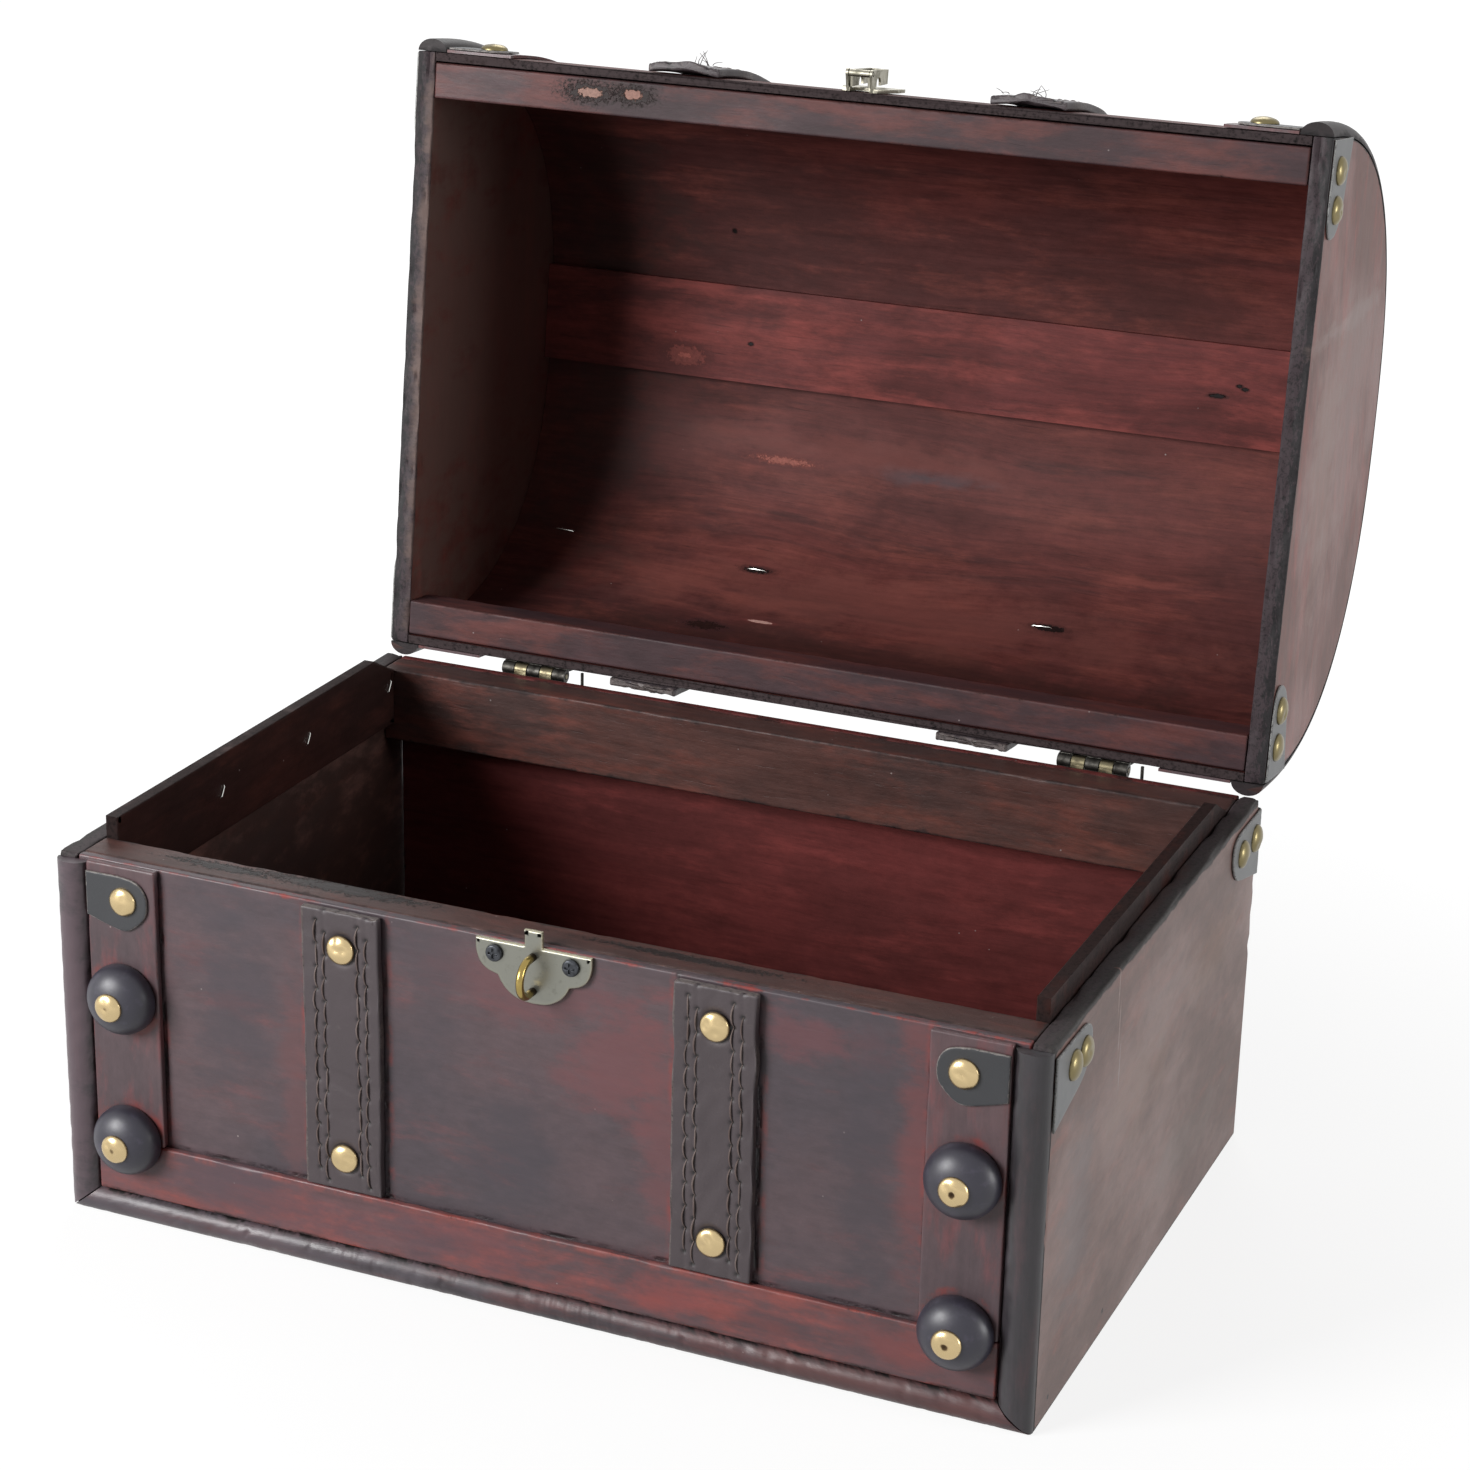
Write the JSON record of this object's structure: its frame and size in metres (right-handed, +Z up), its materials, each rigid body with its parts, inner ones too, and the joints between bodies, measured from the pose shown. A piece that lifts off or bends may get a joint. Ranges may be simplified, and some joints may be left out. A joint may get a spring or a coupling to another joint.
{
  "type": "domed treasure chest",
  "caption": "Wooden treasure chest with an open domed lid, half-round edge mouldings, stitched leather straps, studded leather corners, turned buttons and a hasp with a padlock staple.",
  "frame": {"origin": "middle of the box's underside, on the surface it stands on", "axes": "+Z up, the front with the latch faces -Y, +X to the right as seen from the front"},
  "size_m": [0.3468, 0.3692, 0.3585],
  "materials": {
    "panel_wood": "stained, semi-gloss, worn",
    "side_wood": "stained, semi-gloss",
    "inside_wood": "stained, matt",
    "rail_wood": "stained, satin",
    "slat_wood": "stained, satin",
    "moulding_wood": "charcoal stain, rubbed",
    "strap_leather": "grey leather, stitched",
    "corner_leather": "dark grey leather",
    "button_wood": "turned, black lacquer",
    "latch_metal": "satin, aged plating",
    "staple_brass": "polished wire",
    "screw_steel": "plain",
    "hinge_brass": "aged"
  },
  "bodies": {
    "base": {"front_panel": "panel_wood", "back_panel": "panel_wood", "left_stile": "panel_wood", "right_stile": "panel_wood", "bottom_rail": "panel_wood", "left_side_panel": "side_wood", "right_side_panel": "side_wood", "bottom_panel": "inside_wood", "front_top_rail": "rail_wood", "back_top_rail": "rail_wood", "left_guide_lip": "rail_wood", "right_guide_lip": "rail_wood", "left_corner_moulding": "moulding_wood", "right_corner_moulding": "moulding_wood", "bottom_moulding": "moulding_wood", "left_strap": "strap_leather", "right_strap": "strap_leather", "left_front_leather": "corner_leather", "right_front_leather": "corner_leather", "left_side_leather": "corner_leather", "right_side_leather": "corner_leather", "left_rear_leather": "corner_leather", "right_rear_leather": "corner_leather", "left_upper_button": "button_wood", "left_lower_button": "button_wood", "right_upper_button": "button_wood", "right_lower_button": "button_wood", "latch_plate": "latch_metal", "latch_staple": "staple_brass", "left_latch_screw": "screw_steel", "right_latch_screw": "screw_steel", "left_hinge_base_leaf": "hinge_brass", "right_hinge_base_leaf": "hinge_brass"},
    "lid": {"dome_front_skin": "panel_wood", "dome_back_skin": "panel_wood", "lid_left_band": "panel_wood", "lid_right_band": "panel_wood", "lid_left_side": "side_wood", "lid_right_side": "side_wood", "lid_front_rail": "rail_wood", "lid_back_rail": "rail_wood", "ridge_slat": "slat_wood", "lid_left_moulding": "moulding_wood", "lid_right_moulding": "moulding_wood", "lid_left_strap": "strap_leather", "lid_right_strap": "strap_leather", "lid_left_front_leather": "corner_leather", "lid_right_front_leather": "corner_leather", "lid_left_side_leather": "corner_leather", "lid_right_side_leather": "corner_leather", "lid_left_rear_leather": "corner_leather", "lid_right_rear_leather": "corner_leather", "hasp_plate": "latch_metal", "left_hinge_lid_leaf": "hinge_brass", "right_hinge_lid_leaf": "hinge_brass", "hasp_pin": "hinge_brass"},
    "hasp": {"hasp_flap": "latch_metal"}
  },
  "joints": [
    {"name": "lid_hinge", "type": "hinge", "parent": "base", "child": "lid", "pos_m": [0, 0.113, 0.129], "axis": [1, 0, 0], "range_deg": [0, 97]},
    {"name": "hasp_hinge", "type": "hinge", "parent": "lid", "child": "hasp", "pos_m": [0.0024, 0.1401, 0.3571], "axis": [1, 0, 0], "range_deg": [0, 180]}
  ]
}
